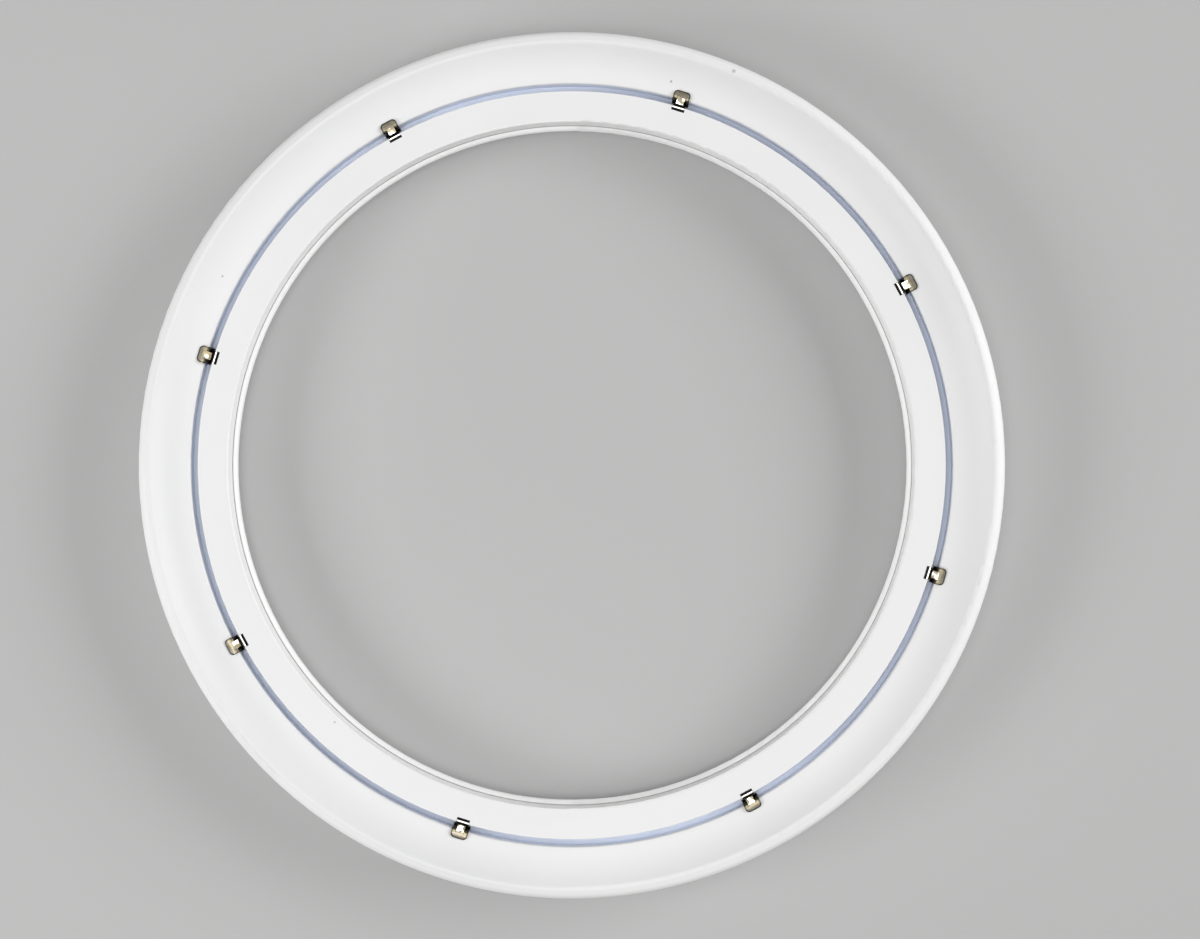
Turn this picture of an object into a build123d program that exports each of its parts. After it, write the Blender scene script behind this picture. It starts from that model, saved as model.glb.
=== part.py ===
"""Balance ring of a top-loading washer, lying with its basket side up.

Two moulded halves are welded into one hollow ring that holds brine. Eight spring clips
sit in the groove that takes the basket's rim. Millimetres, +Z up, origin on the ring's
axis at the level of the surface that it lies on.
"""
import os
from math import sqrt

from build123d import *

# Ring section: the outer radius, then widths and heights
outer_radius = 254.5
ring_width = 55.1
ring_height = 44.0
seam_height = 19.5
lip_round = 2.9
base_round = 14.0
rim_round = 7.2
rim_rise = 10.0
wall = 2.5
crest_inset_lean = 0.6

# Groove for the basket's rim, whose middle is set in from the outer wall
groove_inset = 31.9
groove_width = 4.4
groove_depth = 11.5

# Edges
flat_edge_round = 1.1
groove_inner_round = 0.4
groove_outer_round = 1.2
crest_round = 2.6
seam_chamfer = 0.4

# Baffle ribs and brine
baffle_count = 16
baffle_thickness = 1.8
baffle_height = 11.0
brine_level = 23.0

# Spring clips
clip_count = 8
first_clip_angle = 28.2
strip_thickness = 0.6
leg_width = 7.2
leg_gap = 0.3
hook_reach = 1.9
hook_fall = 0.26
hook_round = 0.8
hook_gap = 0.1
foot_gap = 0.5
crown_drop = 0.3
crown_round = 1.2
crown_turn = 80.0
arch_round = 10.4
arch_turn = 24.0
pad_width = 10.0
pad_corner_round = 2.4
window_width = 5.0
window_depth = 4.0
tongue_width = 4.4
tongue_root_turn = 10.0
tongue_length = 3.5

# Notches for the hooks of the clips' inner legs
notch_depth = 2.8
notch_height = 5.4
notch_clearance = 0.3
boss_wall = 1.8

# Levels and radii that follow from the sizes above
bore_radius = outer_radius - ring_width
groove_radius = outer_radius - groove_inset
flat_height = ring_height - rim_rise
groove_floor = flat_height - groove_depth
groove_inner = groove_radius - groove_width / 2
groove_outer = groove_radius + groove_width / 2
inner_wall_radius = bore_radius + lip_round
lip_height = seam_height - lip_round
crest_radius = outer_radius - rim_round
foot_inner = bore_radius + lip_height
foot_outer = outer_radius - base_round
notch_back = groove_inner - notch_depth
notch_floor = flat_height - notch_height
clip_step = 360 / clip_count
from_corner = (Align.MIN, Align.CENTER, Align.MIN)


def ring_outline(inset):
    """Section of the whole ring, drawn in from its surface: x is the radius, y is the height."""
    rim_centre = ring_height - rim_round
    crest_lean = crest_inset_lean * inset
    crest_height = rim_centre + sqrt((rim_round - inset) ** 2 - crest_lean**2)
    seam = (inner_wall_radius + inset, seam_height)
    nose = (bore_radius + inset, lip_height)
    foot_start = (foot_inner, inset)
    foot_end = (foot_outer, inset)
    wall_low = (outer_radius - inset, base_round)
    wall_high = (outer_radius - inset, rim_centre)
    crest = (crest_radius + crest_lean, crest_height)
    groove_edge = (groove_outer + inset, flat_height - inset)
    lines = [
        TangentArc(nose, seam, tangent=(0, 1)),
        TangentArc(nose, foot_start, tangent=(0, -1)),
        Line(foot_start, foot_end),
        TangentArc(foot_end, wall_low, tangent=(1, 0)),
        Line(wall_low, wall_high),
        TangentArc(wall_high, crest, tangent=(0, 1)),
        TangentArc(groove_edge, crest, tangent=(1, 0)),
        Polyline(
            groove_edge,
            (groove_outer + inset, groove_floor - inset),
            (groove_inner - inset, groove_floor - inset),
            (groove_inner - inset, flat_height - inset),
            (inner_wall_radius + inset, flat_height - inset),
            seam,
        ),
    ]
    return make_face(lines)


def band(low, high):
    """Rectangle across the whole section between two heights."""
    width = outer_radius - bore_radius + 2 * wall
    middle = (outer_radius + bore_radius) / 2
    return Pos(middle, (low + high) / 2) * Rectangle(width, high - low)


def vertex_at(section, radius, height):
    """The corner of a section that lies nearest to a point."""
    return section.vertices().sort_by_distance((radius, height, 0))[0]


def turn(section):
    """Solid of revolution of a section about the ring's axis."""
    return revolve(Plane.XZ * section, Axis.Z)


def at_clips(piece):
    """Copies of a piece, one at each clip."""
    return [Rot(0, 0, first_clip_angle + i * clip_step) * piece for i in range(clip_count)]


def channel():
    """Rectangle round the groove's channel, which belongs to the upper moulding."""
    width = groove_width + 2 * wall
    depth = groove_depth + wall
    return Pos(groove_radius, flat_height - depth / 2) * Rectangle(width, depth)


cavity = ring_outline(wall)
walls = ring_outline(0) - cavity
upper_walls = walls & (band(seam_height, ring_height + wall) + channel())
lower_walls = walls - upper_walls


def make_baffles():
    """Radial ribs on the flat floor of the hollow, open at both ends so that brine can pass."""
    rib_low = wall / 2
    rib_height = wall - rib_low + baffle_height
    rib = Box(foot_outer - foot_inner, baffle_thickness, rib_height, align=from_corner)
    rib = Pos(foot_inner, 0, rib_low) * rib
    return [Rot(0, 0, i * 360 / baffle_count) * rib for i in range(baffle_count)]


def make_shell(baffles):
    """Lower moulding: rounded lip, foot, outer wall and the baffle ribs."""
    section = chamfer(vertex_at(lower_walls, inner_wall_radius, seam_height), seam_chamfer)
    section = chamfer(vertex_at(section, outer_radius, seam_height), seam_chamfer)
    return turn(section) + baffles


def make_cover():
    """Upper moulding: inner wall, flat, groove, cove and rim, with a notch for each clip's hook."""
    section = chamfer(vertex_at(upper_walls, inner_wall_radius, seam_height), seam_chamfer)
    section = chamfer(vertex_at(section, outer_radius, seam_height), seam_chamfer)
    section = fillet(vertex_at(section, inner_wall_radius, flat_height), flat_edge_round)
    section = fillet(vertex_at(section, groove_inner, flat_height), groove_inner_round)
    section = fillet(vertex_at(section, groove_outer, flat_height), groove_outer_round)
    section = fillet(vertex_at(section, crest_radius, ring_height), crest_round)

    notch_width = leg_width + 2 * notch_clearance
    notch = Box(groove_radius - notch_back, notch_width, ring_height, align=from_corner)
    notch = Pos(notch_back, 0, notch_floor) * notch
    boss_inner = notch_back - boss_wall
    boss_low = notch_floor - boss_wall
    boss_length = groove_inner - wall / 2 - boss_inner
    boss_width = notch_width + 2 * boss_wall
    boss_height = flat_height - wall / 2 - boss_low
    boss = Box(boss_length, boss_width, boss_height, align=from_corner)
    boss = Pos(boss_inner, 0, boss_low) * boss
    return turn(section) + at_clips(boss) - at_clips(notch)


def make_brine(baffles):
    """Liquid in the hollow, at rest up to its level and around the baffle ribs."""
    return turn(cavity & band(0, brine_level)) - baffles


def strip(lines, width):
    """Flat strip bent along its middle line, in radius and height."""
    path = Plane.XZ * Wire(lines)
    start = Plane(origin=path @ 0, x_dir=(0, 1, 0), z_dir=path % 0)
    return sweep(start * Rectangle(width, strip_thickness), path)


def make_clip():
    """Bent clip: hooked inner leg, foot, outer leg and arched pad, with a tongue lanced out of it."""
    half = strip_thickness / 2
    inner_leg = groove_inner + leg_gap + half
    outer_leg = groove_outer - leg_gap - half
    foot_round = (outer_leg - inner_leg) / 2
    hook_height = flat_height - hook_gap - half
    hook_end = (inner_leg - hook_reach, hook_height - hook_fall)
    knee = (inner_leg, hook_height)
    leg_end = (inner_leg, groove_floor + foot_gap + half + foot_round)
    leg = FilletPolyline(hook_end, knee, leg_end, radius=hook_round)
    foot = JernArc(leg @ 1, leg % 1, foot_round, 180)
    rise = Line(foot @ 1, (outer_leg, flat_height - crown_drop))
    crown = JernArc(rise @ 1, rise % 1, crown_round, -crown_turn)
    pad = JernArc(crown @ 1, crown % 1, arch_round, -arch_turn)
    body = strip([*leg.edges(), foot, rise, crown, pad], pad_width)

    middle = (inner_leg + outer_leg) / 2
    leg_edge = body.bounding_box().min.X
    pad_edge = body.bounding_box().max.X
    narrow = Pos((leg_edge + middle) / 2, 0) * Rectangle(middle - leg_edge, leg_width)
    wide = Pos((middle + pad_edge) / 2, 0) * Rectangle(pad_edge - middle, pad_width)
    plan = narrow + fillet(wide.vertices().group_by(Axis.X)[-1], pad_corner_round)
    body = body & extrude(plan, 2 * ring_height)

    root = JernArc(crown @ 1, crown % 1, arch_round, -tongue_root_turn)
    tip = Line(crown @ 1, crown @ 1 - tongue_length * (crown % 1))
    window_end = (root @ 1).X - strip_thickness
    window = Box(window_end - middle, window_width, ring_height, align=from_corner)
    body = body - Pos(middle, 0, flat_height - window_depth) * window
    return body + strip([root, tip], tongue_width)


baffle_ribs = make_baffles()
parts = {
    "ring_shell": make_shell(baffle_ribs),
    "groove_cover": make_cover(),
    "balance_brine": make_brine(baffle_ribs),
}
for number, clip in enumerate(at_clips(make_clip()), start=1):
    parts[f"basket_clip_{number}"] = clip

os.makedirs("parts", exist_ok=True)
for name, shape in parts.items():
    shape.label = name
    export_step(shape, f"parts/{name}.step")
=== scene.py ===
import math

import bpy
from mathutils import Matrix, Vector


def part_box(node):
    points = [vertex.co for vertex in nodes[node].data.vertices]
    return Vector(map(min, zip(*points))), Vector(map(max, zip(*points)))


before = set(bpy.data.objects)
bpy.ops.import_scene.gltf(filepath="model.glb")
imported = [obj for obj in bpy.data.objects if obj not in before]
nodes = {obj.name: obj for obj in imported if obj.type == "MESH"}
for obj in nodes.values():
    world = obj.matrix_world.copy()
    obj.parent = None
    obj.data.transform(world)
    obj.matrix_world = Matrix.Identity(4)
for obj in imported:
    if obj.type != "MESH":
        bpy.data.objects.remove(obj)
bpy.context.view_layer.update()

# Sizes of the ring, in metres: the widest come from the frame, the others are set in from
# the outer wall and up from the seam
millimetre = 0.001
cover_low, cover_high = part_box("groove_cover")
outer_radius = cover_high.x
seam_height = cover_low.z
flat_height = seam_height + 14.5 * millimetre
inner_wall_radius = outer_radius - 52.2 * millimetre
groove_radius = outer_radius - 31.9 * millimetre
groove_width = 4.4 * millimetre
groove_depth = 11.5 * millimetre
groove_inner = groove_radius - groove_width / 2
groove_outer = groove_radius + groove_width / 2

# Clips in the groove, and the notches for their hooks
clip_count = 8
clip_step = 2 * math.pi / clip_count
first_clip_angle = math.radians(28.2)
pad_width = 10.0 * millimetre
pad_corner = 2.4 * millimetre
pad_end = groove_outer + 4.8 * millimetre
tongue_width = 4.4 * millimetre
hook_end = groove_inner - 1.3 * millimetre
notch_width = 7.8 * millimetre
notch_back = groove_inner - 2.8 * millimetre

# Small grey specks in the white plastic: place along x and y, radius, strength
specks = [
    (0.0957, 0.2301, 0.0016, 0.45),
    (0.0592, 0.2256, 0.0010, 0.60),
    (-0.2054, 0.1114, 0.0009, 0.50),
    (-0.1391, -0.1516, 0.0009, 0.50),
]

# The camera hangs almost straight above the ring. Its lens suits a picture of 1200 by 939 pixels
camera_place = Vector((0.0430, -0.0080, 1.400))
camera_aim = Vector((0.0167, -0.0025, 0.0))
camera_lens = 69.63

# Soft lamps that face the ring: name, place, width, length, power in watts
softboxes = [
    ("high_softbox", Vector((-0.15, -0.18, 2.00)), 0.70, 0.70, 8.4),
    ("right_softbox", Vector((3.74, 0.93, 2.05)), 3.40, 2.00, 122.0),
    ("left_softbox", Vector((-2.22, -0.72, 1.41)), 1.60, 0.96, 33.0),
]
floor_half = 7.0


def colour(red, green, blue):
    return (red, green, blue, 1.0)


# Colours of the white moulding, its grey specks, and the painted shade and light on it
dull_white = colour(0.845, 0.846, 0.850)
fresh_white = colour(0.872, 0.872, 0.873)
groove_blue = colour(0.84, 0.89, 1.0)
wall_light_white = colour(0.955, 0.955, 0.955)
rim_light_white = colour(0.935, 0.935, 0.935)
seam_shade_grey = colour(0.30, 0.29, 0.28)
notch_shade_black = colour(0.012, 0.012, 0.012)
speck_grey = colour(0.22, 0.21, 0.20)

# Colours of the clips: plating, stains, and the painted shade and highlights on them
crown_shade_brown = colour(0.14, 0.12, 0.085)
pad_yellow = colour(0.64, 0.59, 0.48)
stain_brown = colour(0.36, 0.30, 0.17)
edge_shade_brown = colour(0.05, 0.045, 0.03)
groove_shade_black = colour(0.03, 0.027, 0.02)
highlight_steel = colour(0.93, 0.92, 0.90)

# Colours of the brine, the floor and the room
clear_brine = colour(0.86, 0.93, 0.95)
hazy_brine = colour(0.78, 0.88, 0.92)
floor_dark = colour(0.50, 0.50, 0.50)
floor_light = colour(0.525, 0.525, 0.525)
room_low = colour(0.28, 0.28, 0.28)
room_high = colour(0.29, 0.29, 0.285)


class Socket:
    """A number on a surface. Sums and products of it add the Math nodes that work them out."""

    def __init__(self, finish, output):
        self.finish = finish
        self.output = output

    def math(self, operation, *values):
        return self.finish.add("ShaderNodeMath", {"operation": operation}, dict(enumerate(values)))

    def __add__(self, other):
        return self.math("ADD", self, other)

    __radd__ = __add__

    def __sub__(self, other):
        return self.math("SUBTRACT", self, other)

    def __rsub__(self, other):
        return self.math("SUBTRACT", other, self)

    def __mul__(self, other):
        return self.math("MULTIPLY", self, other)

    __rmul__ = __mul__

    def __truediv__(self, other):
        return self.math("DIVIDE", self, other)

    def __rtruediv__(self, other):
        return self.math("DIVIDE", other, self)

    def __abs__(self):
        return self.math("ABSOLUTE", self)

    def root(self):
        return self.math("SQRT", self)

    def nearest_whole(self):
        return self.math("ROUND", self)

    def least(self, other):
        return self.math("MINIMUM", self, other)

    def most(self, other):
        return self.math("MAXIMUM", self, other)

    def rise(self, start, end):
        """0 before start, 1 after end, and a smooth step between them. It falls where end is below start."""
        limits = {"Value": self, "From Min": start, "From Max": end}
        return self.finish.add("ShaderNodeMapRange", {"interpolation_type": "SMOOTHSTEP"}, limits)


class Finish:
    """The nodes of one material, or of the room's light."""

    def __init__(self, owner, coordinates="Object"):
        owner.use_nodes = True
        self.owner = owner
        self.tree = owner.node_tree
        self.tree.nodes.clear()
        self.place = self.add("ShaderNodeTexCoord", output=coordinates)

    def add(self, kind, settings=None, inputs=None, output=0):
        """Adds a node: its settings first, then the values or links of its sockets. Gives one output."""
        node = self.tree.nodes.new(kind)
        for name, value in (settings or {}).items():
            setattr(node, name, value)
        for name, value in (inputs or {}).items():
            if isinstance(value, Socket):
                self.tree.links.new(value.output, node.inputs[name])
            else:
                node.inputs[name].default_value = value
        return Socket(self, node.outputs[output]) if len(node.outputs) else None

    def axes(self):
        """The place on the surface, or the direction in the room, as three numbers."""
        inputs = {"Vector": self.place}
        return [self.add("ShaderNodeSeparateXYZ", None, inputs, axis) for axis in "XYZ"]

    def noise(self, scale, detail=2.0, roughness=0.5, distortion=0.0, place=None):
        inputs = {"Vector": place or self.place, "Scale": scale, "Detail": detail,
                  "Roughness": roughness, "Distortion": distortion}
        return self.add("ShaderNodeTexNoise", None, inputs, "Fac")

    def stretched(self, x, y, z):
        """The place on the surface, scaled along each axis."""
        inputs = {0: self.place, 1: (x, y, z)}
        return self.add("ShaderNodeVectorMath", {"operation": "MULTIPLY"}, inputs)

    def mix(self, factor, first, second):
        """Colour that goes from the first to the second as the factor goes from 0 to 1."""
        inputs = {0: factor, 6: first, 7: second}
        return self.add("ShaderNodeMix", {"data_type": "RGBA"}, inputs, 2)

    def bump(self, height, distance, strength, normal=None):
        inputs = {"Height": height, "Distance": distance, "Strength": strength}
        if normal:
            inputs["Normal"] = normal
        return self.add("ShaderNodeBump", None, inputs)

    def end(self, inputs):
        """Closes the material with its surface shader."""
        shader = self.add("ShaderNodeBsdfPrincipled", None, inputs)
        self.add("ShaderNodeOutputMaterial", None, {"Surface": shader})
        return self.owner


def new_material(name):
    return Finish(bpy.data.materials.new(name))


def straight_distance(across, along):
    """Distance from its two parts at right angles."""
    return (across * across + along * along).root()


def ring_place(x, y):
    """Radius, and the way along the ring from the middle of the nearest clip."""
    radius = straight_distance(x, y)
    turn = x.math("ARCTAN2", y, x) - first_clip_angle
    turn = turn - clip_step * (turn / clip_step).nearest_whole()
    return radius, abs(turn * radius)


def deep_in_groove(radius, depth):
    half = groove_width / 2
    between_walls = abs(radius - groove_radius).rise(half + 0.6 * millimetre, half)
    return between_walls * depth.rise(0.0, 0.75 * groove_depth)


def near_seam(radius, z):
    """Line of the weld between the two mouldings, on the inside and the outside of the ring, where shade is
    painted.
    """
    across = abs(radius - inner_wall_radius).least(abs(radius - outer_radius))
    return straight_distance(across, z - seam_height).rise(0.7 * millimetre, 0.3 * millimetre)


def in_notch(radius, side, depth):
    """Walls and floor of the notches behind the clips' hooks, where shade is painted black."""
    half = notch_width / 2
    beside = side.rise(half + 0.3 * millimetre, half + 0.1 * millimetre)
    inward = radius.rise(notch_back - 0.4 * millimetre, notch_back - 0.2 * millimetre)
    outward = radius.rise(groove_inner + 0.1 * millimetre, groove_inner - 0.1 * millimetre)
    return beside * inward * outward * depth.rise(0.1 * millimetre, 0.5 * millimetre)


def white_moulding():
    """Satin white polypropylene, bluer down in the groove, with painted shade in the seam and the notches
    and painted light on the lip, inner wall and rim.
    """
    finish = new_material("white_moulding")
    x, y, z = finish.axes()
    radius, side = ring_place(x, y)
    depth = flat_height - z

    cloud = finish.noise(scale=7.0, detail=3.0, roughness=0.55)
    tone = finish.mix(cloud.rise(0.30, 0.70), dull_white, fresh_white)
    tone = finish.mix(deep_in_groove(radius, depth), tone, groove_blue)

    # Painted light: the lip, the inner wall and the outer rim are painted lighter than the rest
    inner_wall = radius.rise(inner_wall_radius + 1.0 * millimetre, inner_wall_radius + 0.2 * millimetre)
    tone = finish.mix(inner_wall, tone, wall_light_white)
    rim = radius.rise(outer_radius - 6.0 * millimetre, outer_radius - 3.0 * millimetre)
    tone = finish.mix(rim, tone, rim_light_white)

    # Painted shade along the seam between the mouldings
    tone = finish.mix(0.80 * near_seam(radius, z), tone, seam_shade_grey)
    # Painted shade: the notches behind the hooks are painted black
    tone = finish.mix(in_notch(radius, side, depth), tone, notch_shade_black)
    for speck_x, speck_y, size, strength in specks:
        speck = straight_distance(x - speck_x, y - speck_y).rise(size, 0.4 * size)
        tone = finish.mix(strength * speck, tone, speck_grey)

    brushed = finish.stretched(1.0, 6.0, 1.0)
    scuff = finish.noise(scale=90.0, detail=4.0, roughness=0.7, distortion=1.2, place=brushed)
    roughness = 0.44 + 0.08 * cloud + 0.10 * scuff.rise(0.52, 0.72)
    waviness = finish.noise(scale=16.0, detail=1.0)
    grain = finish.noise(scale=1400.0)
    relief = finish.bump(waviness, distance=0.6 * millimetre, strength=0.12)
    relief = finish.bump(grain, distance=0.03 * millimetre, strength=0.20, normal=relief)
    return finish.end({"Base Color": tone, "Roughness": roughness, "Normal": relief, "IOR": 1.49})


def pad_edge(radius, side):
    """Narrow band along the rounded outline of a clip's pad, where shade is painted dark."""
    past_side = (side - (pad_width / 2 - pad_corner)).most(0.0)
    past_end = (radius - (pad_end - pad_corner)).most(0.0)
    inside = pad_corner - straight_distance(past_side, past_end)
    return inside.rise(1.0 * millimetre, 0.4 * millimetre)


def on_tongue(radius, side):
    half = tongue_width / 2
    beside = side.rise(half + 0.1 * millimetre, half - 0.1 * millimetre)
    return beside * radius.rise(groove_outer + 0.8 * millimetre, groove_outer + 0.3 * millimetre)


def on_hook(radius, depth):
    """Top of the hook, short of its end, where a highlight is painted."""
    inward = radius.rise(groove_inner - 0.2 * millimetre, groove_inner - 0.6 * millimetre)
    before_end = radius.rise(hook_end + 0.1 * millimetre, hook_end + 0.4 * millimetre)
    return inward * before_end * depth.rise(0.7 * millimetre, 0.5 * millimetre)


def plated_spring_steel():
    """Yellowish plated strip with painted highlights on the tongue and hook, and painted shade at its edges,
    on its crown and down in the groove.
    """
    finish = new_material("plated_spring_steel")
    x, y, z = finish.axes()
    radius, side = ring_place(x, y)
    depth = flat_height - z

    # Painted shade: the crown by the groove is dark brown, the pad further out has the plating's yellow
    outward = radius.rise(groove_outer + 0.9 * millimetre, groove_outer + 3.6 * millimetre)
    tone = finish.mix(outward, crown_shade_brown, pad_yellow)
    stain = finish.noise(scale=230.0)
    tone = finish.mix(0.5 * stain.rise(0.42, 0.62), tone, stain_brown)
    # Painted shade along the pad's outline
    tone = finish.mix(0.92 * pad_edge(radius, side), tone, edge_shade_brown)

    # Painted shade darkens the legs down in the groove; painted highlights brighten the tops of the tongue
    # and the hook
    low = depth.rise(-0.5 * millimetre, 0.0)
    tone = finish.mix(0.95 * low, tone, groove_shade_black)
    # Painted highlights on the tongue and the hook, broken into patches by noise
    highlight_patches = finish.noise(scale=260.0, detail=1.0)
    tongue_highlight = on_tongue(radius, side) * (1.0 - low) * highlight_patches.rise(0.45, 0.52)
    highlight_mask = tongue_highlight.most(0.85 * on_hook(radius, depth))
    tone = finish.mix(highlight_mask, tone, highlight_steel)

    rolled = finish.noise(scale=420.0, detail=3.0, roughness=0.6)
    roughness = 0.24 + 0.10 * rolled
    relief = finish.bump(rolled, distance=0.02 * millimetre, strength=0.2)
    return finish.end({"Base Color": tone, "Metallic": 1.0, "Roughness": roughness, "Normal": relief})


def salt_water():
    """Clear brine with faint haze."""
    finish = new_material("salt_water")
    haze = finish.noise(scale=24.0, detail=3.0)
    tone = finish.mix(haze.rise(0.35, 0.75), clear_brine, hazy_brine)
    return finish.end({"Base Color": tone, "Roughness": 0.04, "IOR": 1.37, "Transmission Weight": 0.9})


def pale_floor():
    """Plain matt studio floor."""
    finish = new_material("pale_floor")
    tone = finish.mix(finish.noise(scale=3.0), floor_dark, floor_light)
    return finish.end({"Base Color": tone, "Roughness": 0.8})


def dress(material, *names):
    """Gives CAD nodes their material."""
    for name in names:
        mesh = nodes[name].data
        mesh.materials.clear()
        mesh.materials.append(material)


def add_object(name, data):
    """New object in the scene."""
    added = bpy.data.objects.new(name, data)
    bpy.context.scene.collection.objects.link(added)
    return added


def lay_floor():
    corners = [
        (-floor_half, -floor_half, 0),
        (floor_half, -floor_half, 0),
        (floor_half, floor_half, 0),
        (-floor_half, floor_half, 0),
    ]
    mesh = bpy.data.meshes.new("studio_floor")
    mesh.from_pydata(corners, [], [(0, 1, 2, 3)])
    mesh.materials.append(pale_floor())
    floor = add_object("studio_floor", mesh)


def hang_lamp(name, place, width, length, power):
    """Soft lamp that faces the ring's middle."""
    data = bpy.data.lights.new(name, "AREA")
    data.shape = "RECTANGLE"
    data.size = width
    data.size_y = length
    data.energy = power
    lamp = add_object(name, data)
    lamp.location = place
    lamp.rotation_mode = "QUATERNION"
    lamp.rotation_quaternion = (-place).to_track_quat("-Z", "Y")


def light_room():
    """Even, dim light from all round."""
    room = Finish(bpy.data.worlds.new("studio_room"), "Generated")
    height = room.axes()[2]
    glow = room.mix(height.rise(0.1, 0.85), room_low, room_high)
    back = room.add("ShaderNodeBackground", None, {"Color": glow})
    room.add("ShaderNodeOutputWorld", None, {"Surface": back})
    bpy.context.scene.world = room.owner


def aim_camera():
    """Camera over the ring, with +Y up in the picture."""
    data = bpy.data.cameras.new("photo_camera")
    data.lens = camera_lens
    camera = add_object("photo_camera", data)
    back_axis = (camera_place - camera_aim).normalized()
    right_axis = Vector((0, 1, 0)).cross(back_axis).normalized()
    up_axis = back_axis.cross(right_axis)
    turned = Matrix((right_axis, up_axis, back_axis)).transposed()
    camera.matrix_world = Matrix.Translation(camera_place) @ turned.to_4x4()
    bpy.context.scene.camera = camera


clip_names = [f"basket_clip_{number}" for number in range(1, clip_count + 1)]
dress(white_moulding(), "ring_shell", "groove_cover")
dress(salt_water(), "balance_brine")
dress(plated_spring_steel(), *clip_names)
lay_floor()
for softbox in softboxes:
    hang_lamp(*softbox)
light_room()
aim_camera()
bpy.context.scene.view_settings.view_transform = "Standard"
